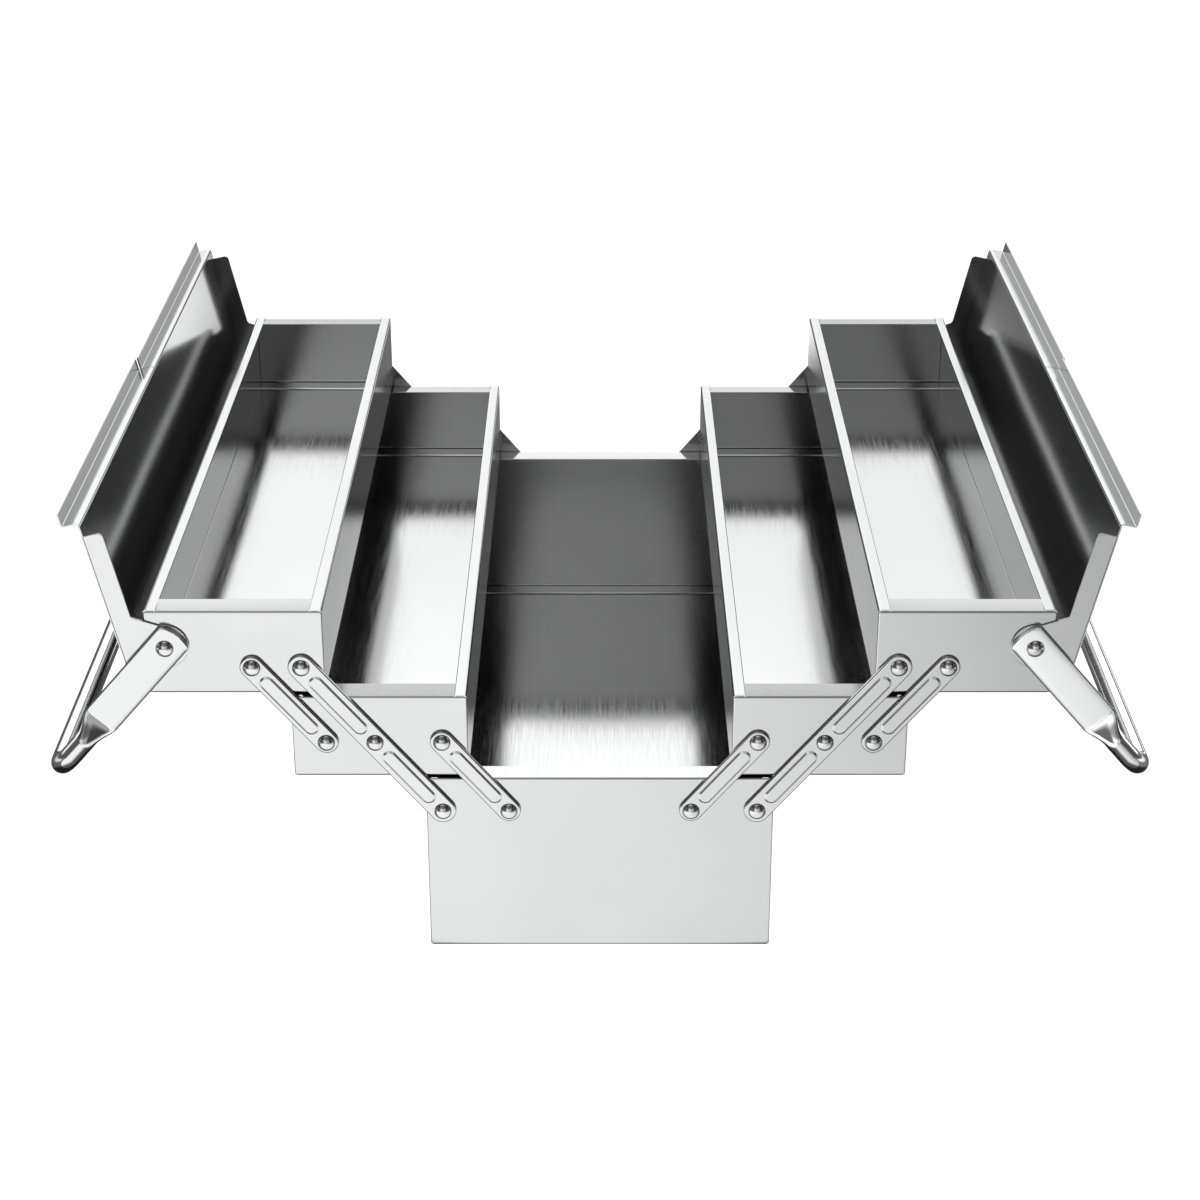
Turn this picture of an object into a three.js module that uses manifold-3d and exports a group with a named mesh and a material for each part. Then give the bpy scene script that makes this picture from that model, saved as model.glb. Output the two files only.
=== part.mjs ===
// Cantilever toolbox with trays, shown fully open.
//
// A stainless-steel base box carries two middle trays and two upper trays on riveted arms. Each upper
// tray has a half lid and a bail handle, which turn on the same pair of rivets at the tray's outer side.
//
// Units are millimetres. +X runs across the box, +Y from its front end to its rear end, +Z is up, and
// the origin is the middle of the base's underside. Every pivot turns about an axis parallel to Y.
// The left half is built first; the right half is the same half turned by 180 degrees about Z.

import * as THREE from 'three';
import { mergeVertices } from 'three/addons/utils/BufferGeometryUtils.js';
import Module from 'manifold-3d';

const wasm = await Module();
wasm.setup();

// ---- driving dimensions ----

const boxLength = 510;
const baseWidth = 200;
const baseHeight = 113;
const trayWidth = 99.5;
const trayHeight = 52;
const levelGap = 1.2;        // between a rim and the underside of the tray above it
const centreGap = 0.4;       // from the middle plane to a closed tray
const sheet = 1;             // wall thickness of boxes and lids
const clearance = 0.3;       // running gap between neighbouring pieces

const rimSide = 7;           // width of the rim along the long sides
const rimEnd = 15;           // width of the rim along the short ends
const rimReturn = 2.3;       // depth of the rim's turned-down inner edge
const rimBend = 2;           // outside radius of the rim's long edges
const floorFlange = 14;      // width of each end wall's flange, turned in over the floor

// ---- arms and pivots ----

const armLean = THREE.MathUtils.degToRad(40);    // from upright: outwards when open, inwards when closed
const middleShift = 75;      // how far a middle tray travels sideways when it closes
const upperShift = 79.6;     // how much further an upper tray travels
const lowerReach = middleShift / 2 / Math.sin(armLean);
const upperReach = upperShift / 2 / Math.sin(armLean);

const armThickness = 2;
const shortArmWidth = 14;
const longArmWidth = 15.5;
const armBaseDrop = 20.7;    // the lowest pivots, below the base's rim
const ribWidth = 7.5;
const ribHeight = 0.7;
const ribInset = 12.5;       // from a pivot to the centre of the rib's round end

const shankRadius = 1.6;
const holeRadius = shankRadius + clearance;
const domeRadius = 5;
const domeHeight = 3.2;
const domeEdge = 0.6;        // upright edge below the round of a rivet head

const armPlane = boxLength / 2 + clearance;
const armFace = armPlane + armThickness;

// ---- lid and handle, measured from their shared pivot ----

const pivotInset = 11.5;     // from the upper tray's outer wall
const pivotDrop = 21.8;      // below the upper tray's rim
const lidLean = THREE.MathUtils.degToRad(13);  // the open lid leans this far outwards from upright
const lidInner = 24.3;       // from the pivot to the lid panel's inner face
const lidPanelEdge = 81;     // from the pivot to the panel's free edge
const lidFlange = 6;         // depth of the turned edge next to the hinge side
const lipStep = 9.8;         // the lip stands this far above the panel
const lipWidth = 8.5;
const lipOffset = 1.3;       // the under half of the lip is this much lower than the over half
const lipSlit = 1;
const lidEndStrip = 11.7;    // depth of the lid's end plates
const lidEndReach = 74;
const lidEndCorner = 3;
const lidLobeRadius = 13;
const lidNeck = 20.5;        // from the pivot to where the end plate narrows to its strip

const handleReach = 99.5;    // from the pivot to the middle of the grip
const handleDroop = THREE.MathUtils.degToRad(49);  // the open handle hangs this far below level
const handlePlateWidth = 21;
const handlePlateThickness = 3;
const handlePlateReach = 63;
const gripRadius = 6.2;
const gripBend = 12;

const roundSides = 12;       // sides of a rivet, a hole or the grip
const arcSteps = 3;          // half the steps in a round end or corner of a flat outline
const rimSteps = 2;          // half the steps in the bend along a rim
const gripSteps = 6;         // steps along each bend of the grip
const domeSteps = 3;         // steps from the edge of a rivet head to its top

// ---- places worked out from the dimensions above ----

const middleInner = centreGap + middleShift;
const middleCentreX = -(middleInner + trayWidth / 2);
const upperInner = middleInner + upperShift;
const upperCentreX = -(upperInner + trayWidth / 2);
const middleBottom = baseHeight + levelGap;
const upperBottom = middleBottom + trayHeight + levelGap;

const lean = (from, reach) => ({
  x: from.x - reach * Math.sin(armLean),
  z: from.z + reach * Math.cos(armLean),
});
const pivots = {};
pivots.longArmBase = { x: -90.5, z: baseHeight - armBaseDrop };
pivots.longArmMiddle = lean(pivots.longArmBase, lowerReach);
pivots.longArmUpper = lean(pivots.longArmMiddle, upperReach);
pivots.lowerArmBase = { x: -52.5, z: pivots.longArmBase.z };
pivots.lowerArmMiddle = lean(pivots.lowerArmBase, lowerReach);
pivots.upperArmMiddle = { x: -155.7, z: pivots.longArmMiddle.z };
pivots.upperArmUpper = lean(pivots.upperArmMiddle, upperReach);
pivots.lid = {
  x: -(upperInner + trayWidth) + pivotInset,
  z: upperBottom + trayHeight - pivotDrop,
};

// ---- materials ----

const steel = (color, roughness) => new THREE.MeshStandardMaterial({ color, roughness, metalness: 1 });
const materials = {
  box: steel(0xd9dadb, 0.22),
  lid: steel(0xd4d5d6, 0.16),
  arm: steel(0xdcdddd, 0.25),
  handle: steel(0xe2e2e2, 0.12),
  rivet: steel(0xe6e6e6, 0.1),
};

// ---- joining and cutting ----

function solid(geometry) {
  const bare = geometry.clone();
  bare.deleteAttribute('normal');
  bare.deleteAttribute('uv');
  const merged = mergeVertices(bare, 1e-4);
  return new wasm.Manifold(new wasm.Mesh({
    numProp: 3,
    vertProperties: new Float32Array(merged.attributes.position.array),
    triVerts: new Uint32Array(merged.index.array),
  }));
}

function geometryOf(shape) {
  const mesh = shape.getMesh();
  const geometry = new THREE.BufferGeometry();
  geometry.setAttribute('position', new THREE.BufferAttribute(mesh.vertProperties, mesh.numProp));
  geometry.setIndex(new THREE.BufferAttribute(mesh.triVerts, 1));
  geometry.computeVertexNormals();
  return geometry;
}

const join = (first, ...others) => others.reduce((whole, piece) => whole.add(piece), first);
const cut = (whole, ...tools) => tools.reduce((rest, tool) => rest.subtract(tool), whole);

// ---- simple solids ----

function block(low, high) {
  const size = high.map((value, axis) => value - low[axis]);
  const geometry = new THREE.BoxGeometry(...size);
  geometry.translate(...low.map((value, axis) => value + size[axis] / 2));
  return solid(geometry);
}

// An outline drawn in X and Z, made solid between two distances from the middle of the box's length.
// outward is -1 towards the front end and +1 towards the rear end. Each arc takes twice curveSegments.
function plate(outline, near, far, outward, curveSegments = arcSteps) {
  const geometry = new THREE.ExtrudeGeometry(outline, {
    depth: far - near,
    bevelEnabled: false,
    curveSegments,
  });
  geometry.rotateX(Math.PI / 2);
  geometry.translate(0, outward < 0 ? -near : far, 0);
  return solid(geometry);
}

// The outline of a bar with round ends, from one point to another.
function barOutline(from, to, width) {
  const angle = Math.atan2(to.z - from.z, to.x - from.x);
  const outline = new THREE.Shape();
  outline.absarc(from.x, from.z, width / 2, angle + Math.PI / 2, angle + Math.PI * 1.5);
  outline.absarc(to.x, to.z, width / 2, angle - Math.PI / 2, angle + Math.PI / 2);
  outline.closePath();
  return outline;
}

function circleOutline(centre, radius) {
  return new THREE.Shape().absarc(centre.x, centre.z, radius, 0, Math.PI * 2);
}

function pivotHole(centre, near, far, outward) {
  return plate(circleOutline(centre, holeRadius), near, far, outward, roundSides / 2);
}

// ---- the base box and the trays: folded sheet, open at the top, with a flat rim turned inwards ----

function openBox(width, height, holes) {
  const half = width / 2;
  const halfLength = boxLength / 2;
  const profile = new THREE.Shape();
  profile.moveTo(-half, 0);
  profile.lineTo(half, 0);
  profile.absarc(half - rimBend, height - rimBend, rimBend, 0, Math.PI / 2);
  profile.absarc(-half + rimBend, height - rimBend, rimBend, Math.PI / 2, Math.PI);
  profile.closePath();
  const outside = new THREE.ExtrudeGeometry(profile, {
    depth: boxLength,
    bevelEnabled: false,
    curveSegments: rimSteps,
  });
  outside.rotateX(Math.PI / 2);
  outside.translate(0, halfLength, 0);

  const mouthX = half - rimSide;
  const mouthY = halfLength - rimEnd;
  const above = height + sheet;
  const cavity = block(
    [-half + sheet, -halfLength + sheet, sheet],
    [half - sheet, halfLength - sheet, height - sheet],
  );
  const rimInner = block(
    [-mouthX - sheet, -mouthY - sheet, height - rimReturn],
    [mouthX + sheet, mouthY + sheet, height - sheet / 2],
  );
  const mouth = block(
    [-mouthX, -mouthY, height - rimReturn - sheet],
    [mouthX, mouthY, above],
  );
  const floorFlanges = [-1, 1].map((end) => {
    const wall = end * (halfLength - sheet / 2);
    const edge = end * (halfLength - sheet - floorFlange);
    return block(
      [-half + sheet / 2, Math.min(wall, edge), sheet / 2],
      [half - sheet / 2, Math.max(wall, edge), sheet * 2],
    );
  });
  const shell = cut(join(cut(solid(outside), cavity), rimInner, ...floorFlanges), mouth);
  const bores = holes.flatMap((hole) => [-1, 1].map((outward) => (
    pivotHole(hole, halfLength - sheet * 2, halfLength + sheet, outward)
  )));
  return cut(shell, ...bores);
}

function addBox(group, name, centreX, bottom, width, height, pivotList) {
  const holes = pivotList.map((pivot) => ({ x: pivot.x - centreX, z: pivot.z - bottom }));
  const mesh = new THREE.Mesh(geometryOf(openBox(width, height, holes)), materials.box);
  mesh.name = name;
  mesh.position.set(centreX, 0, bottom);
  group.add(mesh);
}

// ---- arms: flat bars with a raised rib between each pair of rivets ----

function arm(pivotList, width, outward) {
  const bar = plate(barOutline(pivotList[0], pivotList.at(-1), width), armPlane, armFace, outward);
  const ribs = pivotList.slice(1).map((to, index) => {
    const from = pivotList[index];
    const share = ribInset / Math.hypot(to.x - from.x, to.z - from.z);
    const between = (t) => ({ x: from.x + (to.x - from.x) * t, z: from.z + (to.z - from.z) * t });
    const outline = barOutline(between(share), between(1 - share), ribWidth);
    return plate(outline, armPlane + clearance, armFace + ribHeight, outward);
  });
  const bores = pivotList.map((pivot) => (
    pivotHole(pivot, armPlane - sheet, armFace + sheet, outward)
  ));
  return cut(join(bar, ...ribs), ...bores);
}

// ---- rivets: a shank flush with the inside of the wall, and a domed head ----

function rivet(underHead) {
  const inside = boxLength / 2 - sheet;
  const points = [
    new THREE.Vector2(0, inside),
    new THREE.Vector2(shankRadius, inside),
    new THREE.Vector2(shankRadius, underHead),
    new THREE.Vector2(domeRadius, underHead),
  ];
  for (let step = 0; step <= domeSteps; step += 1) {
    const angle = (step / domeSteps) * Math.PI / 2;
    points.push(new THREE.Vector2(
      step === domeSteps ? 0 : domeRadius * Math.cos(angle),
      underHead + domeEdge + (domeHeight - domeEdge) * Math.sin(angle),
    ));
  }
  return new THREE.LatheGeometry(points, roundSides);
}

// ---- half lid: panel, stepped lip along its free edge, and an end plate at each end ----

// Closed-lid coordinates: x towards the middle of the box, z up, from the pivot.
function lidStrip(corners, fromY, toY) {
  const outline = new THREE.Shape(corners.map(([x, z]) => new THREE.Vector2(x, z)));
  const geometry = new THREE.ExtrudeGeometry(outline, { depth: toY - fromY, bevelEnabled: false });
  geometry.rotateX(Math.PI / 2);
  geometry.translate(0, toY, 0);
  return solid(geometry);
}

function lidEndOutline() {
  const top = lidInner + sheet;
  const low = top - lidEndStrip;
  const cornerX = lidEndReach - lidEndCorner;
  const outline = new THREE.Shape();
  outline.absarc(0, 0, lidLobeRadius, Math.PI, Math.PI * 2);
  outline.lineTo(lidNeck, low);
  outline.lineTo(cornerX, low);
  outline.absarc(cornerX, low + lidEndCorner, lidEndCorner, -Math.PI / 2, 0);
  outline.lineTo(lidEndReach, top);
  outline.lineTo(-lidLobeRadius, top);
  outline.closePath();
  return outline;
}

function halfLid() {
  const top = lidInner + sheet;
  const endPlane = armPlane;
  const endFace = endPlane + sheet;
  const outer = -pivotInset - sheet / 2 - sheet;
  const panel = lidStrip([
    [outer, top],
    [outer, top - lidFlange],
    [outer + sheet, top - lidFlange],
    [outer + sheet, lidInner],
    [lidPanelEdge, lidInner],
    [lidPanelEdge, top],
  ], -endFace, endFace);

  const lip = (offset, fromY, toY) => {
    const lipTop = top + lipStep - offset;
    return lidStrip([
      [lidPanelEdge - sheet, lidInner],
      [lidPanelEdge, lidInner],
      [lidPanelEdge, lipTop - sheet],
      [lidPanelEdge + lipWidth, lipTop - sheet],
      [lidPanelEdge + lipWidth, lipTop],
      [lidPanelEdge - sheet, lipTop],
    ], fromY, toY);
  };
  const overHalf = lip(0, -endPlane, -lipSlit / 2);
  const underHalf = lip(lipOffset, lipSlit / 2, endPlane);

  const endPlates = [-1, 1].map((outward) => cut(
    plate(lidEndOutline(), endPlane, endFace, outward),
    pivotHole({ x: 0, z: 0 }, endPlane - sheet, endFace + sheet, outward),
  ));
  return join(panel, overHalf, underHalf, ...endPlates);
}

// ---- bail handle: a round grip bent at both ends, pressed flat where it is riveted ----

// A path made of pieces, each taking a stated number of steps, so that bends get most of them.
class SteppedPath extends THREE.Curve {
  constructor(pieces) {
    super();
    this.pieces = pieces;
    this.steps = pieces.reduce((sum, piece) => sum + piece.steps, 0);
  }

  getPoint(t, target = new THREE.Vector3()) {
    let left = t * this.steps;
    for (const piece of this.pieces) {
      if (left <= piece.steps || piece === this.pieces.at(-1)) {
        return piece.curve.getPoint(Math.min(left / piece.steps, 1), target);
      }
      left -= piece.steps;
    }
    return target;
  }

  getPointAt(t, target) {
    return this.getPoint(t, target);
  }

  getTangentAt(t, target) {
    return this.getTangent(t, target);
  }
}

// Handle coordinates: x runs from the pivot to the grip, z across the handle's plate.
function bailHandle() {
  const near = armPlane + sheet + clearance;
  const rodY = near + gripRadius;
  const rodStart = handlePlateReach - gripRadius;
  const at = (x, y) => new THREE.Vector3(x, y, 0);
  const straight = (from, to) => ({ curve: new THREE.LineCurve3(from, to), steps: 1 });
  const bend = (from, corner, to) => ({
    curve: new THREE.QuadraticBezierCurve3(from, corner, to),
    steps: gripSteps,
  });
  const path = new SteppedPath([
    straight(at(rodStart, -rodY), at(handleReach - gripBend, -rodY)),
    bend(at(handleReach - gripBend, -rodY), at(handleReach, -rodY), at(handleReach, -rodY + gripBend)),
    straight(at(handleReach, -rodY + gripBend), at(handleReach, rodY - gripBend)),
    bend(at(handleReach, rodY - gripBend), at(handleReach, rodY), at(handleReach - gripBend, rodY)),
    straight(at(handleReach - gripBend, rodY), at(rodStart, rodY)),
  ]);
  const section = new THREE.Shape().absarc(0, 0, gripRadius, 0, Math.PI * 2);
  const rod = new THREE.ExtrudeGeometry(section, {
    extrudePath: path,
    steps: path.steps,
    curveSegments: roundSides / 2,
    bevelEnabled: false,
  });

  const half = handlePlateWidth / 2;
  const shoulder = 7;
  const crown = 11;
  const outline = new THREE.Shape();
  outline.moveTo(-shoulder, half);
  outline.quadraticCurveTo(-crown - (crown - shoulder), 0, -shoulder, -half);
  outline.lineTo(handlePlateReach, -half);
  outline.lineTo(handlePlateReach + half, -gripRadius + sheet);
  outline.lineTo(handlePlateReach + half, gripRadius - sheet);
  outline.lineTo(handlePlateReach, half);
  outline.closePath();
  const plates = [-1, 1].map((outward) => cut(
    plate(outline, near, near + handlePlateThickness, outward),
    pivotHole({ x: 0, z: 0 }, near - sheet, near + handlePlateThickness + sheet, outward),
  ));
  return join(solid(rod), ...plates);
}

// ---- the assembly ----

function addPiece(group, name, geometry, material) {
  const mesh = new THREE.Mesh(geometry, material);
  mesh.name = name;
  group.add(mesh);
  return mesh;
}

function addRivet(group, name, pivot, underHead, outward) {
  const mesh = addPiece(group, name, rivet(underHead), materials.rivet);
  mesh.rotation.x = outward < 0 ? Math.PI : 0;
  mesh.position.set(pivot.x, 0, pivot.z);
}

function halfBox(side) {
  const group = new THREE.Group();
  const named = (name) => `${side}_${name}`;

  addBox(group, named('middle_tray'), middleCentreX, middleBottom, trayWidth, trayHeight, [
    pivots.longArmMiddle, pivots.lowerArmMiddle, pivots.upperArmMiddle,
  ]);
  addBox(group, named('upper_tray'), upperCentreX, upperBottom, trayWidth, trayHeight, [
    pivots.longArmUpper, pivots.upperArmUpper, pivots.lid,
  ]);

  const lid = addPiece(group, named('lid'), geometryOf(halfLid()), materials.lid);
  lid.position.set(pivots.lid.x, 0, pivots.lid.z);
  lid.rotation.y = -(Math.PI / 2 + lidLean);

  const handle = addPiece(group, named('handle'), geometryOf(bailHandle()), materials.handle);
  handle.position.set(pivots.lid.x, 0, pivots.lid.z);
  handle.rotation.y = -(Math.PI + handleDroop);

  for (const outward of [-1, 1]) {
    const atFront = (outward < 0) === (side === 'left');
    const end = (name) => named(`${atFront ? 'front' : 'rear'}_${name}`);
    const arms = {
      long_arm: [longArmWidth, pivots.longArmBase, pivots.longArmMiddle, pivots.longArmUpper],
      lower_arm: [shortArmWidth, pivots.lowerArmBase, pivots.lowerArmMiddle],
      upper_arm: [shortArmWidth, pivots.upperArmMiddle, pivots.upperArmUpper],
    };
    for (const [name, [width, ...pivotList]] of Object.entries(arms)) {
      addPiece(group, end(name), geometryOf(arm(pivotList, width, outward)), materials.arm);
    }

    const armHead = armFace + clearance;
    const handleHead = armPlane + sheet + clearance + handlePlateThickness + clearance;
    const rivets = {
      long_arm_base_rivet: [pivots.longArmBase, armHead],
      long_arm_middle_rivet: [pivots.longArmMiddle, armHead],
      long_arm_upper_rivet: [pivots.longArmUpper, armHead],
      lower_arm_base_rivet: [pivots.lowerArmBase, armHead],
      lower_arm_middle_rivet: [pivots.lowerArmMiddle, armHead],
      upper_arm_middle_rivet: [pivots.upperArmMiddle, armHead],
      upper_arm_upper_rivet: [pivots.upperArmUpper, armHead],
      lid_rivet: [pivots.lid, handleHead],
    };
    for (const [name, [pivot, underHead]] of Object.entries(rivets)) {
      addRivet(group, end(name), pivot, underHead, outward);
    }
  }
  return group;
}

const toolbox = new THREE.Group();
toolbox.name = 'cantilever_toolbox';
const basePivots = [pivots.longArmBase, pivots.lowerArmBase];
addBox(toolbox, 'base_box', 0, 0, baseWidth, baseHeight, [
  ...basePivots,
  ...basePivots.map(({ x, z }) => ({ x: -x, z })),
]);
const leftHalf = halfBox('left');
const rightHalf = halfBox('right');
rightHalf.rotation.z = Math.PI;
toolbox.add(leftHalf, rightHalf);

export default toolbox;
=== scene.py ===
"""A stainless-steel cantilever toolbox with trays, fully open, on a white floor in a studio.

Shapes are worked out in millimetres and stored in metres. Every CAD node is replaced by one finished
piece: folded-sheet boxes and lids, pressed arms, domed rivets and drawn handles.
"""

import math

import bmesh
import bpy
from mathutils import Matrix, Vector


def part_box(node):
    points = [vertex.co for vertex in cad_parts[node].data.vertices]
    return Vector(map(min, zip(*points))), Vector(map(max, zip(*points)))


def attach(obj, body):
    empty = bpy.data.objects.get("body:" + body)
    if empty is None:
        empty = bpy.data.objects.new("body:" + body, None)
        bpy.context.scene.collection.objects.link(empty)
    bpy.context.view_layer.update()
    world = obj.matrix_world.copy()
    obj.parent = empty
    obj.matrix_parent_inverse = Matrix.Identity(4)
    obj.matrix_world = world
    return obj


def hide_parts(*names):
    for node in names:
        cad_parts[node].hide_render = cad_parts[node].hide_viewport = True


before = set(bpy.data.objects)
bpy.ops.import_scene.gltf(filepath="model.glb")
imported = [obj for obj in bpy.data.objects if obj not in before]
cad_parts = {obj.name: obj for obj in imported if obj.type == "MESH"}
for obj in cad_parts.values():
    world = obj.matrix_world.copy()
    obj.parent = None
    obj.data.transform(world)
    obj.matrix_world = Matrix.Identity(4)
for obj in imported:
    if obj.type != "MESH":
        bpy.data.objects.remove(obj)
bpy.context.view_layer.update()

MM = 0.001
SHEET = 1.0

# ---- the object's own sizes, in millimetres and degrees ----

RIM_SIDE = 7.0
RIM_END = 15.0
RIM_RETURN = 2.3
RIM_STEP = 0.35          # the side hems lie this far above the end flanges
RIM_GAP = 2.0            # from a hem's inner edge out to the side flange under it
HEM_BEND = 2.0
SHELL_BEND = 1.2         # along the upper edges of the walls
INNER_BEND = 0.4
CORNER = 1.0
FLOOR_BEND = 1.8         # along the lower edges of the walls
UNDERSIDE_INSET = 6.0    # the underside's middle face starts this far inside its bend
FLOOR_INSET = 5.0        # and the floor's this far inside the walls
FLANGE_FALL = 0.7        # the trays' end flanges lie this far lower at their outer edges
FLANGE_RISE = 0.3        # and higher at their inner edges
FLOOR_FLANGE = 14.0      # the end walls' flanges, turned in over the floor

RIB_WIDTH = 7.5
RIB_HEIGHT = 0.7
RIB_INSET = 12.5         # from a rivet's middle
RIB_PROFILE = (          # out from the rib's edge, and up from the arm's face
    (0.55, -0.04), (0.48, 0.02), (0.36, 0.08), (-0.6, 0.61), (-0.74, 0.665), (-0.95, 0.69), (-1.4, 0.7),
)
ARM_BACK_EDGE = 0.3
ARM_EDGE = 1.2           # the rounding of an arm's front edge
ARM_FACE_INSET = 0.6     # the flat face starts this far inside the rounding

RIVET_HEIGHT = 3.4       # from the arm to the crown
RIVET_EDGE = 0.3         # the height of the head's upright edge
RIVET_SUNK = 0.2         # behind its seat the head goes on this far, and draws in by RIVET_DRAW
RIVET_DRAW = 0.3
RIVET_TOP = 0.2          # the radius of the crown's flat middle

LID_LEAN = 13.0
LID_INNER = 24.3
LID_EDGE = 81.0
LID_FLANGE = 6.0
LID_BEND = 1.5
LIP_STEP = 9.8
LIP_WIDTH = 8.5
LIP_OFFSET = 1.3         # one half of the lip is this far lower: the left lid's rear, the right lid's front
LIP_SLIT = 1.0
LIP_LAP = 2.5            # the lip starts this far inside the lid's edge
LIP_FOOT = 1.2           # the bend from the panel up to the lip
LID_END_STRIP = 11.7
LID_END_REACH = 74.0
LID_LOBE = 13.0          # the round end about the rivet
LID_NECK = 20.5
LID_NECK_SHIFT = 2.4
LID_END_ROUND = 3.0
LID_END_DROP = 0.4       # the end plates' upper edge, below the panel's face
LID_OUTER = 13.0         # from the pivot out to the lid's turned edge

HANDLE_REACH = 99.5
HANDLE_DROOP = 49.0
HANDLE_CROWN = -10.8     # the plate's rounded end goes from here to HANDLE_SHOULDER
HANDLE_SHOULDER = -6.0
HANDLE_PLATE = 59.0      # the plate is flat up to here and round from HANDLE_ROUND on
HANDLE_ROUND = 75.0
HANDLE_WIDTH = 21.0
HANDLE_TIP = 0.8         # half the plate's width at its tip
HANDLE_THICK = 3.0
CROWN_SHAPE = (2.6, 2.2)      # the powers of the plate's rounded end
WIDTH_DONE = 0.85        # the shares of the way to the grip by which the plate has lost its width
SQUARE_DONE = 0.5        # and its squareness
ELLIPSE = 2.0            # a cross-section's squareness: 2 is an ellipse, more is squarer
PLATE_SQUARE = 3.6
GRIP_RADIUS = 6.2
GRIP_BEND = 12.5

# ---- how the steel's tone and roughness vary: the noises' stretch, scale and detail ----

CLOUDS = ((1.0, 0.35, 1.0), 9.0, 3.0)
STREAKS = ((1.0, 0.03, 1.0), 900.0, 2.0)
WAVES = ((1.0, 0.5, 1.0), 14.0, 0.0)
NOISE_LOW = 0.35         # most of a noise lies between these two
NOISE_HIGH = 0.65
DARK_TINT = (1.0, 1.003, 1.008)
LIGHT_TINT = (1.0, 1.003, 1.006)
GLANCING_TINT = (0.6, 0.6, 0.6, 1.0)
PAINTED_LIGHT_SIDES = (-0.2, 0.2)      # the X between which steel goes from its left-hand tone to its right-hand one, painted light that brightens the right-hand pieces

# ---- the room that the steel reflects: (height of the direction, tone), behind the object and in front ----

ROOM_REAR = (
    (0.0, 0.05), (0.11, 0.08), (0.18, 0.8), (0.26, 0.88), (0.34, 0.92), (0.38, 0.84), (0.42, 0.8),
    (0.45, 0.84), (0.48, 1.0), (0.52, 1.0), (0.55, 0.5), (0.64, 0.4), (0.76, 0.09), (0.94, 0.09),
    (0.98, 0.3), (1.0, 0.32),
)
ROOM_FRONT = (
    (0.0, 0.34), (0.25, 0.36), (0.48, 0.38), (0.6, 0.14), (0.76, 0.08), (0.94, 0.08), (0.98, 0.28),
    (1.0, 0.3),
)
FRONT_TO_REAR = (-0.1, 0.3)      # the directions' Y between which the one gives way to the other
REAR_STRENGTH = (3.0, 2.65)      # on the left and on the right
REAR_SIDES = (-0.4, 0.4)         # and the X between which it changes
FRONT_STRENGTH = (3.8, 2.1)
FRONT_SIDES = (-0.12, 0.1)
ENDS_SHARE = 0.13                # the share left of the front far out to the left and right
ENDS_FALL = (0.42, 0.62)         # and how far out it falls to that

# ---- the floor, in metres: what the camera sees, and the pools of light that the steel reflects ----

FLOOR_HALF = 12.0
FLOOR_COLOUR = (0.25, 0.25, 0.25, 1)
FLOOR_SEEN = 1.05
FLOOR_BASE = 0.1
FLOOR_LEFT = 1.72                # the front pool's strength on its left and on its right
FLOOR_RIGHT = 0.5
FLOOR_SIDES = (-0.15, 0.65)      # and the X between which it changes
FRONT_POOL = ((0.0, -1.55, 0.0), (1.25, 1.3, 1.0), 0.995, 1.0)
OTHER_POOLS = (          # strength, centre, radii, and the shares of the radii between which it fades
    (2.1, (0.7, 1.2, 0.0), (0.7, 0.8, 1.0), 0.92, 1.04),
    (1.2, (-1.5, 0.0, 0.0), (0.8, 0.8, 1.0), 0.7, 1.05),
    (1.1, (1.5, 0.0, 0.0), (0.8, 0.8, 1.0), 0.7, 1.05),
)
WHITE = (1, 1, 1, 1)

# ---- the camera: millimetres of lens and film, metres, and degrees below the level ----

CAMERA_LENS = 75.27
CAMERA_FILM = 36
CAMERA_PLACE = (0, -1.5178, 0.8119)
CAMERA_DOWN = 24.907
CAMERA_REACH = 50


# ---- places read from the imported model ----

def node_box(node):
    low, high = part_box(node)
    return low / MM, high / MM


def pivot_of(node):
    """The middle of a rivet, seen along its axis."""
    low, high = node_box(node)
    middle = (low + high) / 2
    return middle.x, middle.z


# ---- shader nodes ----

def fill(tree, sockets, values):
    """Sets each socket to its value, which is a number or an output of another node."""
    for socket, value in zip(sockets, values):
        if isinstance(value, (int, float)):
            socket.default_value = value
        else:
            tree.links.new(value, socket)


def node_math(tree, operation, first, second):
    node = tree.nodes.new("ShaderNodeMath")
    node.operation = operation
    fill(tree, node.inputs, (first, second))
    return node.outputs["Value"]


def ranged(tree, source, span, ends, interpolation="LINEAR"):
    """A value that goes from one end to the other as its source crosses a span."""
    node = tree.nodes.new("ShaderNodeMapRange")
    node.interpolation_type = interpolation
    node.inputs["From Min"].default_value = span[0]
    node.inputs["From Max"].default_value = span[1]
    node.inputs["To Min"].default_value = ends[0]
    node.inputs["To Max"].default_value = ends[1]
    tree.links.new(source, node.inputs["Value"])
    return node.outputs["Result"]


def smoothly(tree, source, span, ends):
    return ranged(tree, source, span, ends, "SMOOTHSTEP")


def chosen(tree, share, first, second):
    """A mix of two numbers: the first at a share of 0 and the second at 1."""
    node = tree.nodes.new("ShaderNodeMix")
    tree.links.new(share, node.inputs[0])
    fill(tree, node.inputs[2:4], (first, second))
    return node.outputs[0]


def coordinate(tree, kind):
    return tree.nodes.new("ShaderNodeTexCoord").outputs[kind]


def axes_of(tree, vector):
    """The X, Y and Z of a vector."""
    parts = tree.nodes.new("ShaderNodeSeparateXYZ")
    tree.links.new(vector, parts.inputs["Vector"])
    return [parts.outputs[axis] for axis in "XYZ"]


def scaled(tree, colour, share):
    scale = tree.nodes.new("ShaderNodeVectorMath")
    scale.operation = "SCALE"
    tree.links.new(colour, scale.inputs[0])
    tree.links.new(share, scale.inputs["Scale"])
    return scale.outputs["Vector"]


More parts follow.
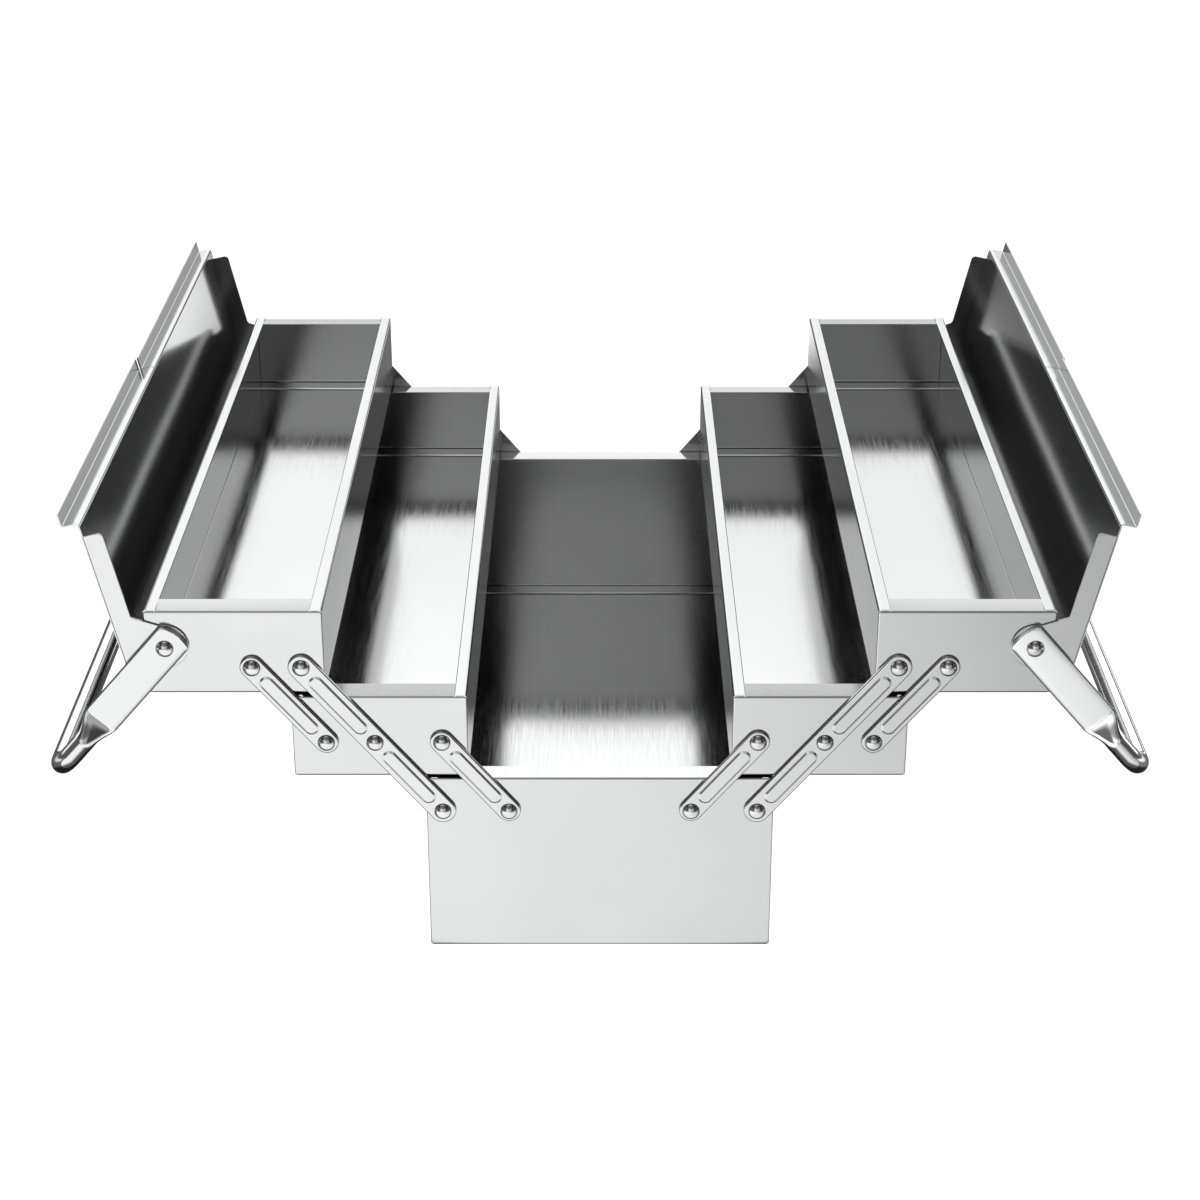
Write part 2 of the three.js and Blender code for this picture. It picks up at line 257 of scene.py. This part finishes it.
def mapped_noise(tree, stretch, scale, detail):
    """Noise in the piece's own coordinates, drawn out along one axis by stretch."""
    mapping = tree.nodes.new("ShaderNodeMapping")
    mapping.inputs["Scale"].default_value = stretch
    noise = tree.nodes.new("ShaderNodeTexNoise")
    noise.inputs["Scale"].default_value = scale
    noise.inputs["Detail"].default_value = detail
    tree.links.new(coordinate(tree, "Object"), mapping.inputs["Vector"])
    tree.links.new(mapping.outputs["Vector"], noise.inputs["Vector"])
    return noise.outputs["Fac"]


def bump(tree, height, distance):
    node = tree.nodes.new("ShaderNodeBump")
    node.inputs["Distance"].default_value = distance
    tree.links.new(height, node.inputs["Height"])
    return node


# ---- materials ----

def cloudy(tree, tones):
    """A grey with a trace of blue that drifts between two tones."""
    ramp = tree.nodes.new("ShaderNodeValToRGB")
    stops = zip(ramp.color_ramp.elements, (NOISE_LOW, NOISE_HIGH), tones, (DARK_TINT, LIGHT_TINT))
    for element, position, tone, tint in stops:
        element.position = position
        element.color = (*(tone * share for share in tint), 1.0)
    tree.links.new(mapped_noise(tree, *CLOUDS), ramp.inputs["Fac"])
    return ramp.outputs["Color"]


def steel(name, tones, roughness, grain, wave, shade_slopes, painted_shade_share, metallic=1.0, right_painted_light=1.0):
    """Polished stainless steel: cloudy tone, fine rolling grain and a faint waviness of thin sheet.

    tones and roughness are (low, high) pairs, and grain and wave are bump distances in metres.
    shade_slopes are the two downward slopes of the surface between which painted shade darkens the
    tone, and painted_shade_share is the share of the tone left where that painted shade is full;
    right_painted_light is painted light: how much brighter the right-hand piece is painted beside the
    left-hand one.
    """
    material = bpy.data.materials.new(name)
    material.use_nodes = True
    tree = material.node_tree
    shader = tree.nodes["Principled BSDF"]
    shader.inputs["Metallic"].default_value = metallic
    shader.inputs["Specular Tint"].default_value = GLANCING_TINT

    upward = axes_of(tree, coordinate(tree, "Normal"))[2]
    rightward = axes_of(tree, coordinate(tree, "Object"))[0]
    # painted shade: the tone is darkened where the surface faces downwards
    below = smoothly(tree, upward, shade_slopes, (painted_shade_share, 1.0))
    # painted light: right-hand pieces are painted brighter than left-hand ones
    across = smoothly(tree, rightward, PAINTED_LIGHT_SIDES, (1.0, right_painted_light))
    colour = scaled(tree, scaled(tree, cloudy(tree, tones), below), across)
    tree.links.new(colour, shader.inputs["Base Color"])

    streaks = mapped_noise(tree, *STREAKS)
    rough = ranged(tree, streaks, (NOISE_LOW, NOISE_HIGH), roughness)
    tree.links.new(rough, shader.inputs["Roughness"])

    grains = bump(tree, streaks, grain)
    waves = bump(tree, mapped_noise(tree, *WAVES), wave)
    tree.links.new(grains.outputs["Normal"], waves.inputs["Normal"])
    tree.links.new(waves.outputs["Normal"], shader.inputs["Normal"])
    return material


# each steel's tone is darkened by painted shade on downward-facing surfaces
MATERIALS = {
    "box_steel": steel(
        "box_steel", tones=(0.42, 0.44), roughness=(0.12, 0.17), grain=0.000001, wave=0.0003,
        shade_slopes=(-0.3, -0.03), painted_shade_share=0.3),
    "lid_steel": steel(
        "lid_steel", tones=(0.45, 0.47), roughness=(0.12, 0.13), grain=0.0, wave=0.0003,
        shade_slopes=(-0.6, -0.35), painted_shade_share=0.3, metallic=0.94),
    "arm_steel": steel(
        "arm_steel", tones=(0.44, 0.46), roughness=(0.16, 0.22), grain=0.000002, wave=0.0001,
        shade_slopes=(-0.4, -0.1), painted_shade_share=0.3),
    # painted light: the right-hand handle is painted 1.6 times as bright as the left-hand one
    "handle_steel": steel(
        "handle_steel", tones=(0.46, 0.48), roughness=(0.09, 0.13), grain=0.000001, wave=0.0001,
        shade_slopes=(-0.25, -0.04), painted_shade_share=0.1, right_painted_light=1.6),
    "rivet_steel": steel(
        "rivet_steel", tones=(0.46, 0.50), roughness=(0.08, 0.12), grain=0.000001, wave=0.0,
        shade_slopes=(-0.75, -0.4), painted_shade_share=0.3),
}


# ---- building meshes ----

SHARP_ANGLE = 32
FLAT_WEIGHT = 80


def place(name, shape, body, node, slot):
    """Turns a bmesh in millimetres into a piece that rides on a body and stands for a CAD node."""
    bmesh.ops.recalc_face_normals(shape, faces=shape.faces)
    bmesh.ops.scale(shape, vec=(MM, MM, MM), verts=shape.verts)
    mesh = bpy.data.meshes.new(name)
    shape.to_mesh(mesh)
    shape.free()
    for polygon in mesh.polygons:
        polygon.use_smooth = True
    mesh.set_sharp_from_angle(angle=math.radians(SHARP_ANGLE))
    mesh.materials.append(MATERIALS[slot])
    piece = bpy.data.objects.new(name, mesh)
    bpy.context.scene.collection.objects.link(piece)
    weighted = piece.modifiers.new("flat faces stay flat", "WEIGHTED_NORMAL")
    weighted.keep_sharp = True
    weighted.weight = FLAT_WEIGHT
    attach(piece, body)
    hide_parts(node)
    return piece


def arc(centre, radius, start, end, steps):
    """Points of an arc in a plane, with angles in degrees."""
    points = []
    for step in range(steps + 1):
        angle = math.radians(start + (end - start) * step / steps)
        points.append((centre[0] + radius * math.cos(angle), centre[1] + radius * math.sin(angle)))
    return points


def loft(shape, rings, cap_start=True, cap_end=True):
    """Joins closed rings of points, all with the same count, into one skin."""
    made = [[shape.verts.new(point) for point in ring] for ring in rings]
    for lower, upper in zip(made, made[1:]):
        count = len(lower)
        for index in range(count):
            following = (index + 1) % count
            shape.faces.new((lower[index], lower[following], upper[following], upper[index]))
    if cap_start:
        shape.faces.new(reversed(made[0]))
    if cap_end:
        shape.faces.new(made[-1])


def corner_ring(half_x, half_y, radius, z, centre_x):
    """A rectangle with rounded corners, lying flat."""
    steps = 4
    points = []
    for quarter, (sign_x, sign_y) in enumerate(((1, 1), (-1, 1), (-1, -1), (1, -1))):
        centre = (sign_x * (half_x - radius), sign_y * (half_y - radius))
        points += arc(centre, radius, quarter * 90, quarter * 90 + 90, steps)
    return [(x + centre_x, y, z) for x, y in points]


def offset_path(path, thickness):
    """The same open path moved to its left, with mitred corners."""
    least_mitre = 0.4
    moved = []
    for index, point in enumerate(path):
        before = path[max(index - 1, 0)]
        after = path[min(index + 1, len(path) - 1)]
        into = (Vector(point) - Vector(before)).normalized() if index else None
        out = (Vector(after) - Vector(point)).normalized() if index < len(path) - 1 else None
        into = into or out
        out = out or into
        along = (into + out).normalized()
        side = Vector((-along.y, along.x))
        stretch = 1 / max(side.dot(Vector((-into.y, into.x))), least_mitre)
        moved.append(tuple(Vector(point) + side * thickness * stretch))
    return moved


def sheet_section(path, thickness, edge=0.15):
    """The closed outline of a bent sheet, its free edges slightly rounded."""
    other = offset_path(path, thickness)
    start = Vector(path[0]) - Vector(path[1])
    end = Vector(path[-1]) - Vector(path[-2])
    start.normalize()
    end.normalize()
    first = Vector(path[0]), Vector(other[0])
    last = Vector(path[-1]), Vector(other[-1])
    across_first = (first[1] - first[0]).normalized()
    across_last = (last[1] - last[0]).normalized()
    outline = [tuple(first[0] + across_first * edge), tuple(first[0] - start * edge)]
    outline += path[1:-1]
    outline += [tuple(last[0] - end * edge), tuple(last[0] + across_last * edge)]
    outline += [tuple(last[1] - across_last * edge), tuple(last[1] - end * edge)]
    outline += other[-2:0:-1]
    outline += [tuple(first[1] - start * edge), tuple(first[1] - across_first * edge)]
    return outline


def extrude_along_y(shape, outline, from_y, to_y, place_point=None):
    """A closed outline in X and Z carried along Y, as a skin with both ends closed."""
    place_point = place_point or (lambda point: point)
    rings = [[place_point((x, y, z)) for x, z in outline] for y in (from_y, to_y)]
    loft(shape, rings)


# ---- base box and trays ----

def shell_rings(half_x, half_y, height, centre_x, bottom, fall, rise):
    """Rings of the folded shell: underside, walls, flanges, and back down inside to the floor."""
    top = height - RIM_STEP
    side_flange = RIM_SIDE - RIM_GAP
    steps = 4
    rings = []

    def ring(inset_x, inset_y, z, radius=CORNER):
        rings.append(corner_ring(half_x - inset_x, half_y - inset_y, radius, bottom + z, centre_x))

    ring(FLOOR_BEND + UNDERSIDE_INSET, FLOOR_BEND + UNDERSIDE_INSET, 0)
    for step in range(steps + 1):
        angle = math.radians(90 * step / steps)
        inset = FLOOR_BEND * (1 - math.sin(angle))
        ring(inset, inset, FLOOR_BEND * (1 - math.cos(angle)))
    for step in range(steps + 1):
        angle = math.radians(90 * step / steps)
        inset = SHELL_BEND * (1 - math.cos(angle))
        ring(inset, inset, top - fall - SHELL_BEND * (1 - math.sin(angle)))
    for step in range(steps + 1):
        angle = math.radians(90 * step / steps)
        inset = INNER_BEND * (1 - math.sin(angle))
        drop = INNER_BEND * (1 - math.cos(angle))
        ring(side_flange - inset, RIM_END - inset, top + rise - drop, INNER_BEND)
    ring(side_flange, RIM_END, height - RIM_RETURN, INNER_BEND)
    ring(side_flange - SHEET, RIM_END - SHEET, height - RIM_RETURN, INNER_BEND)
    ring(side_flange - SHEET, RIM_END - SHEET, top - SHEET, INNER_BEND)
    ring(SHEET + INNER_BEND, SHEET + INNER_BEND, top - SHEET, INNER_BEND)
    ring(SHEET, SHEET, top - SHEET - INNER_BEND, INNER_BEND)
    for step in range(steps + 1):
        angle = math.radians(90 * step / steps)
        inset = SHEET + INNER_BEND * (1 - math.cos(angle))
        ring(inset, inset, SHEET + INNER_BEND * (1 - math.sin(angle)), INNER_BEND)
    ring(SHEET + FLOOR_INSET, SHEET + FLOOR_INSET, SHEET, INNER_BEND)
    return rings


def add_hem(shape, half_x, half_y, height, centre_x, bottom, side):
    """The side wall's top edge, folded inwards over the end flanges along the full length."""
    inner_bend = 0.8
    overlap = 0.3
    path = [(half_x, height - HEM_BEND - overlap)]
    path += arc((half_x - HEM_BEND, height - HEM_BEND), HEM_BEND, 0, 90, 6)
    path += arc((half_x - RIM_SIDE + inner_bend, height - inner_bend), inner_bend, 90, 180, 4)
    path.append((half_x - RIM_SIDE, height - RIM_RETURN))
    outline = [(centre_x + side * x, bottom + z) for x, z in sheet_section(path, SHEET)]
    extrude_along_y(shape, outline, -half_y, half_y)


def add_floor_flange(shape, half_x, half_y, centre_x, bottom, end):
    """An end wall's flange: down the wall, round a bend and in over the floor to a bevelled edge."""
    bend = 0.9
    bevel = 0.35
    buried = 0.3
    up_the_wall = 1.5
    wall = half_y - SHEET
    edge = wall - FLOOR_FLANGE
    low = bottom + SHEET
    top = low + SHEET
    outline = [(wall + buried, low - buried), (edge, low - buried), (edge, low), (edge + bevel, top)]
    outline += arc((wall - bend, top + bend), bend, -90, 0, 6)
    outline.append((wall + buried, top + bend + up_the_wall))
    half = half_x - SHEET + buried
    loft(shape, [[(x, end * y, z) for y, z in outline] for x in (centre_x - half, centre_x + half)])


def build_box(node, body):
    """The base box or a tray: a folded shell, two side hems and two flanges over the floor."""
    low, high = node_box(node)
    half_x = (high.x - low.x) / 2
    half_y = (high.y - low.y) / 2
    centre_x = (high.x + low.x) / 2
    height = high.z - low.z
    shape = bmesh.new()
    fall, rise = (0, 0) if node == "base_box" else (FLANGE_FALL, FLANGE_RISE)
    loft(shape, shell_rings(half_x, half_y, height, centre_x, low.z, fall, rise))
    for sign in (-1, 1):
        add_hem(shape, half_x, half_y - SHELL_BEND / 2, height, centre_x, low.z, sign)
        add_floor_flange(shape, half_x, half_y, centre_x, low.z, sign)
    return place(f"{node}_steel", shape, body, node, "box_steel")


# ---- arms ----

def bar_ring(start, end, half_width, y):
    """A bar's outline with round ends, at one distance along Y."""
    angle = math.degrees(math.atan2(end[1] - start[1], end[0] - start[0]))
    points = arc(start, half_width, angle + 90, angle + 270, 14)
    points += arc(end, half_width, angle - 90, angle + 90, 14)
    return [(x, y, z) for x, z in points]


def between(start, end, distance):
    """The point at a distance from start on the way to end."""
    share = distance / math.dist(start, end)
    return (start[0] + (end[0] - start[0]) * share, start[1] + (end[1] - start[1]) * share)


def build_arm(node, body, rivets):
    """A flat arm with rounded front edges, and a rib between each rivet and the next."""
    low, high = node_box(node)
    outward = 1 if low.y > 0 else -1
    back = min(abs(low.y), abs(high.y))
    face = max(abs(low.y), abs(high.y)) - RIB_HEIGHT
    pivots = [pivot_of(rivet) for rivet in rivets]
    half_width = (high.x - low.x - abs(pivots[0][0] - pivots[-1][0])) / 2
    shape = bmesh.new()
    levels = [(half_width - ARM_BACK_EDGE, back), (half_width, back + ARM_BACK_EDGE)]
    for inset, y in arc((ARM_EDGE, face - ARM_EDGE), ARM_EDGE, 180, 90, 6):
        levels.append((half_width - inset, y))
    levels.append((half_width - ARM_EDGE - ARM_FACE_INSET, face))
    loft(shape, [bar_ring(pivots[0], pivots[-1], half, outward * y) for half, y in levels])
    for start, end in zip(pivots, pivots[1:]):
        add_rib(shape, start, end, face, outward)
    return place(f"{node}_steel", shape, body, node, "arm_steel")


def add_rib(shape, start, end, face, outward):
    """A pressed rib: a steep soft shoulder and an almost flat top."""
    first = between(start, end, RIB_INSET)
    last = between(end, start, RIB_INSET)
    half = RIB_WIDTH / 2
    rings = [bar_ring(first, last, half + out, outward * (face + rise)) for out, rise in RIB_PROFILE]
    loft(shape, rings, cap_start=False)


# ---- rivets ----

def build_rivet(node, body):
    """A snap head: a low upright edge and, on it, a cap of a sphere."""
    low, high = node_box(node)
    outward = 1 if low.y > 0 else -1
    x, z = pivot_of(node)
    radius = (high.x - low.x) / 2
    crown = max(abs(low.y), abs(high.y))
    seat = crown - RIVET_HEIGHT
    rise = RIVET_HEIGHT - RIVET_EDGE
    ball = (radius ** 2 + rise ** 2) / (2 * rise)
    widest = math.degrees(math.asin(radius / ball))
    levels = [(radius - RIVET_DRAW, seat - RIVET_SUNK), (radius, seat)]
    steps = 9
    sides = 40
    for step in range(steps):
        angle = math.radians(widest * (1 - step / steps))
        levels.append((ball * math.sin(angle), crown - ball * (1 - math.cos(angle))))
    levels.append((RIVET_TOP, crown))
    shape = bmesh.new()
    loft(shape, [
        [(px, outward * y, pz) for px, pz in arc((x, z), ring, 0, 360 - 360 / sides, sides - 1)]
        for ring, y in levels
    ])
    return place(f"{node}_steel", shape, body, node, "rivet_steel")


# ---- lids ----

def turned_about_rivet(side, degrees):
    """Turns a point about the lid's rivet and puts it on its own side of the toolbox."""
    low, high = node_box(f"{side}_front_lid_rivet")
    pivot = Vector(((low.x + high.x) / 2, 0, (low.z + high.z) / 2))
    turn = Matrix.Rotation(-math.radians(degrees), 4, "Y")
    if side == "right":
        turn = Matrix.Rotation(math.pi, 4, "Z") @ turn
    return lambda point: tuple(turn @ Vector(point) + pivot)


def lid_end_outline():
    """An end plate: a lobe about the rivet, a neck, and a strip along the panel."""
    top = LID_INNER + SHEET
    low = top - LID_END_STRIP
    upper = top - LID_END_DROP
    outline = arc((0, 0), LID_LOBE, 180, 360, 16)
    outline += arc((LID_NECK + LID_NECK_SHIFT, low - LID_END_ROUND), LID_END_ROUND, 155, 90, 5)
    outline += arc((LID_END_REACH - LID_END_ROUND, low + LID_END_ROUND), LID_END_ROUND, -90, 0, 6)
    outline += [(LID_END_REACH, upper), (-LID_LOBE, upper)]
    return outline


def plate_rings(outline, near, far, edge=0.25):
    """Rings of a flat plate between two distances along Y, with slightly broken edges."""
    count = len(outline)

    def inset(amount):
        points = []
        for index, point in enumerate(outline):
            before = Vector(outline[index - 1])
            after = Vector(outline[(index + 1) % count])
            along = (after - before).normalized()
            points.append(Vector(point) + Vector((-along.y, along.x)) * amount)
        return points

    sign = 1 if far > near else -1
    levels = [(edge, near), (0, near + sign * edge), (0, far - sign * edge), (edge, far)]
    return [[(p[0], y, p[1]) for p in inset(amount)] for amount, y in levels]


def build_lid(side):
    """A half lid: the panel with its turned edge, a lip in two halves, and two end plates."""
    node = f"{side}_lid"
    low, high = node_box(node)
    half_y = (high.y - low.y) / 2
    move = turned_about_rivet(side, 90 + LID_LEAN)
    top = LID_INNER + SHEET
    last_flat = 6
    shape = bmesh.new()

    panel = [(-LID_OUTER, top - LID_FLANGE)]
    panel += arc((-LID_OUTER + LID_BEND, top - LID_BEND), LID_BEND, 180, 90, 5)
    panel += [(LID_EDGE - last_flat, top), (LID_EDGE - SHEET, top)]
    extrude_along_y(shape, sheet_section(panel, -SHEET), -half_y, half_y, move)

    for drop, from_y, to_y in (
        (0, -half_y + SHEET, -LIP_SLIT / 2),
        (LIP_OFFSET, LIP_SLIT / 2, half_y - SHEET),
    ):
        lip_top = top + LIP_STEP - drop
        lip = [(LID_EDGE - LIP_LAP, top)]
        lip += arc((LID_EDGE - LIP_FOOT, top + LIP_FOOT), LIP_FOOT, -90, 0, 5)[1:]
        lip += arc((LID_EDGE + LID_BEND, lip_top - LID_BEND), LID_BEND, 180, 90, 6)
        lip.append((LID_EDGE + LIP_WIDTH, lip_top))
        extrude_along_y(shape, sheet_section(lip, -SHEET), from_y, to_y, move)

    for outward in (-1, 1):
        rings = plate_rings(lid_end_outline(), outward * (half_y - SHEET), outward * half_y)
        loft(shape, [[move(point) for point in ring] for ring in rings])
    return place(f"{node}_steel", shape, f"{side}_lid_body", node, "lid_steel")


# ---- handles ----

def smooth(value):
    """0 up to 0 and 1 from 1 on, with a smooth step between."""
    value = min(max(value, 0.0), 1.0)
    return value * value * (3 - 2 * value)


def section(centre, outwards, half_thick, half_width, squareness):
    """A cross-section between a round and a rounded rectangle, facing along the handle."""
    points = []
    count = 36
    for index in range(count):
        angle = 2 * math.pi * index / count
        across, up = math.cos(angle), math.sin(angle)
        across = math.copysign(abs(across) ** (2 / squareness), across)
        up = math.copysign(abs(up) ** (2 / squareness), up)
        offset = Vector(outwards) * half_thick * across + Vector((0, 0, half_width * up))
        points.append(Vector(centre) + offset)
    return points


def handle_half(near):
    """Cross-sections from the riveted end, along the plate, round the bend and to the middle of the grip."""
    half_thick = HANDLE_THICK / 2
    half_width = HANDLE_WIDTH / 2
    rod_y = near + GRIP_RADIUS
    plate_y = near + half_thick
    outwards = (0, 1, 0)
    rings = []
    crown_steps = 8
    for step in range(1, crown_steps + 1):
        share = math.cos(math.radians(90 * step / crown_steps))
        width = half_width * (1 - share ** CROWN_SHAPE[0]) ** (1 / CROWN_SHAPE[1])
        x = HANDLE_SHOULDER + (HANDLE_CROWN - HANDLE_SHOULDER) * share
        rings.append(section((x, plate_y, 0), outwards, half_thick, max(width, HANDLE_TIP), PLATE_SQUARE))
    plate_steps = 20
    for step in range(plate_steps + 1):
        along = step / plate_steps
        share = smooth(along)
        x = HANDLE_PLATE + (HANDLE_ROUND - HANDLE_PLATE) * along
        rings.append(section(
            (x, plate_y + (rod_y - plate_y) * share, 0),
            outwards,
            half_thick + (GRIP_RADIUS - half_thick) * share,
            half_width + (GRIP_RADIUS - half_width) * smooth(along / WIDTH_DONE),
            PLATE_SQUARE + (ELLIPSE - PLATE_SQUARE) * smooth(along / SQUARE_DONE),
        ))
    corner = (HANDLE_REACH - GRIP_BEND, rod_y - GRIP_BEND)
    bend_steps = 12
    for step in range(bend_steps + 1):
        angle = math.radians(90 * step / bend_steps)
        outwards = (math.sin(angle), math.cos(angle), 0)
        centre = (corner[0] + GRIP_BEND * outwards[0], corner[1] + GRIP_BEND * outwards[1], 0)
        rings.append(section(centre, outwards, GRIP_RADIUS, GRIP_RADIUS, ELLIPSE))
    return rings


def build_handle(side):
    node = f"{side}_handle"
    low, high = node_box(node)
    near = (high.y - low.y) / 2 - 2 * GRIP_RADIUS
    move = turned_about_rivet(side, 180 + HANDLE_DROOP)
    rear = handle_half(near)
    front = [[(x, -y, z) for x, y, z in ring] for ring in reversed(rear)]
    shape = bmesh.new()
    loft(shape, [[move(point) for point in ring] for ring in rear + front])
    return place(f"{node}_steel", shape, f"{side}_handle_body", node, "handle_steel")


# ---- the whole toolbox ----

ARM_RIVETS = {
    "long_arm": ("long_arm_base_rivet", "long_arm_middle_rivet", "long_arm_upper_rivet"),
    "lower_arm": ("lower_arm_base_rivet", "lower_arm_middle_rivet"),
    "upper_arm": ("upper_arm_middle_rivet", "upper_arm_upper_rivet"),
}


def rivet_bodies(side):
    """The body that each rivet of one end rides on."""
    return {
        "long_arm_base_rivet": "base",
        "lower_arm_base_rivet": "base",
        "long_arm_middle_rivet": f"{side}_middle",
        "lower_arm_middle_rivet": f"{side}_middle",
        "upper_arm_middle_rivet": f"{side}_middle",
        "long_arm_upper_rivet": f"{side}_upper",
        "upper_arm_upper_rivet": f"{side}_upper",
        "lid_rivet": f"{side}_upper",
    }


def build_side(side):
    build_box(f"{side}_middle_tray", f"{side}_middle")
    build_box(f"{side}_upper_tray", f"{side}_upper")
    build_lid(side)
    build_handle(side)
    for end in ("front", "rear"):
        name = f"{side}_{end}"
        for arm, rivets in ARM_RIVETS.items():
            build_arm(f"{name}_{arm}", f"{side}_{arm}s", [f"{name}_{rivet}" for rivet in rivets])
        for rivet, body in rivet_bodies(side).items():
            build_rivet(f"{name}_{rivet}", body)


# ---- studio ----

def add_camera():
    data = bpy.data.cameras.new("camera")
    data.lens = CAMERA_LENS
    data.sensor_width = CAMERA_FILM
    data.clip_end = CAMERA_REACH
    camera = bpy.data.objects.new("camera", data)
    camera.location = CAMERA_PLACE
    camera.rotation_euler = (math.radians(90 - CAMERA_DOWN), 0, 0)
    bpy.context.scene.collection.objects.link(camera)
    bpy.context.scene.camera = camera


def light_pool(tree, position, centre, radii, inner, outer):
    """1 inside an oval on the floor and 0 outside it; inner and outer are shares of its radii."""
    place_from = tree.nodes.new("ShaderNodeVectorMath")
    place_from.operation = "SUBTRACT"
    place_from.inputs[1].default_value = centre
    share = tree.nodes.new("ShaderNodeVectorMath")
    share.operation = "DIVIDE"
    share.inputs[1].default_value = radii
    distance = tree.nodes.new("ShaderNodeVectorMath")
    distance.operation = "LENGTH"
    tree.links.new(position, place_from.inputs[0])
    tree.links.new(place_from.outputs["Vector"], share.inputs[0])
    tree.links.new(share.outputs["Vector"], distance.inputs[0])
    return smoothly(tree, distance.outputs["Value"], (inner, outer), (1.0, 0.0))


def floor_glow(tree):
    """The floor's brightness to the steel: dim, with pools of light in front, behind and at the sides."""
    position = coordinate(tree, "Object")
    strengths = (FLOOR_LEFT - FLOOR_BASE, FLOOR_RIGHT - FLOOR_BASE)
    across = smoothly(tree, axes_of(tree, position)[0], FLOOR_SIDES, strengths)
    lit = node_math(tree, "MULTIPLY", light_pool(tree, position, *FRONT_POOL), across)
    for strength, *oval in OTHER_POOLS:
        pool = node_math(tree, "MULTIPLY", light_pool(tree, position, *oval), strength)
        lit = node_math(tree, "ADD", lit, pool)
    return node_math(tree, "ADD", lit, FLOOR_BASE)


def add_floor():
    """The floor: plain white to the camera, and dim with pools of light to the steel."""
    shape = bmesh.new()
    corners = ((-1, -1), (1, -1), (1, 1), (-1, 1))
    shape.faces.new([shape.verts.new((x * FLOOR_HALF, y * FLOOR_HALF, 0)) for x, y in corners])
    mesh = bpy.data.meshes.new("floor")
    shape.to_mesh(mesh)
    shape.free()
    floor = bpy.data.objects.new("floor", mesh)
    bpy.context.scene.collection.objects.link(floor)

    material = bpy.data.materials.new("floor")
    material.use_nodes = True
    tree = material.node_tree
    shader = tree.nodes["Principled BSDF"]
    shader.inputs["Base Color"].default_value = FLOOR_COLOUR
    shader.inputs["Roughness"].default_value = 0.9
    shader.inputs["Specular IOR Level"].default_value = 0.0
    shader.inputs["Emission Color"].default_value = WHITE
    path = tree.nodes.new("ShaderNodeLightPath")
    glow = chosen(tree, path.outputs["Is Camera Ray"], floor_glow(tree), FLOOR_SEEN)
    tree.links.new(glow, shader.inputs["Emission Strength"])
    mesh.materials.append(material)


def tone_by_height(tree, height, stops):
    """A grey read from (height, tone) stops."""
    ramp = tree.nodes.new("ShaderNodeValToRGB")
    elements = ramp.color_ramp.elements
    while len(elements) < len(stops):
        elements.new(0.5)
    for element, (position, tone) in zip(elements, stops):
        element.position = position
        element.color = (tone, tone, tone, 1)
    tree.links.new(height, ramp.inputs["Fac"])
    return ramp.outputs["Color"]


def add_world():
    """The room that the steel reflects, and the plain white that the camera sees all round.

    The room has a bright wall behind the object, a dimmer half on the camera's side whose ends are
    darker still, a dark upper part, and a lighter patch straight overhead.
    """
    world = bpy.data.worlds.new("studio")
    bpy.context.scene.world = world
    world.use_nodes = True
    tree = world.node_tree
    room = tree.nodes["Background"]
    x, y, z = axes_of(tree, coordinate(tree, "Generated"))

    front_strength = smoothly(tree, x, FRONT_SIDES, FRONT_STRENGTH)
    rear_strength = smoothly(tree, x, REAR_SIDES, REAR_STRENGTH)
    ends = smoothly(tree, node_math(tree, "ABSOLUTE", x, 0.0), ENDS_FALL, (1.0, ENDS_SHARE))
    front = node_math(tree, "MULTIPLY", tone_by_height(tree, z, ROOM_FRONT), front_strength)
    front = node_math(tree, "MULTIPLY", front, ends)
    rear = node_math(tree, "MULTIPLY", tone_by_height(tree, z, ROOM_REAR), rear_strength)
    both = chosen(tree, smoothly(tree, y, FRONT_TO_REAR, (0.0, 1.0)), front, rear)
    tree.links.new(both, room.inputs["Strength"])
    room.inputs["Color"].default_value = WHITE

    white = tree.nodes.new("ShaderNodeBackground")
    white.inputs["Color"].default_value = WHITE
    path = tree.nodes.new("ShaderNodeLightPath")
    shown = tree.nodes.new("ShaderNodeMixShader")
    tree.links.new(path.outputs["Is Camera Ray"], shown.inputs["Fac"])
    tree.links.new(room.outputs["Background"], shown.inputs[1])
    tree.links.new(white.outputs["Background"], shown.inputs[2])
    tree.links.new(shown.outputs["Shader"], tree.nodes["World Output"].inputs["Surface"])


build_box("base_box", "base")
for name in ("left", "right"):
    build_side(name)
add_camera()
add_floor()
add_world()
bpy.context.scene.view_settings.view_transform = "Standard"
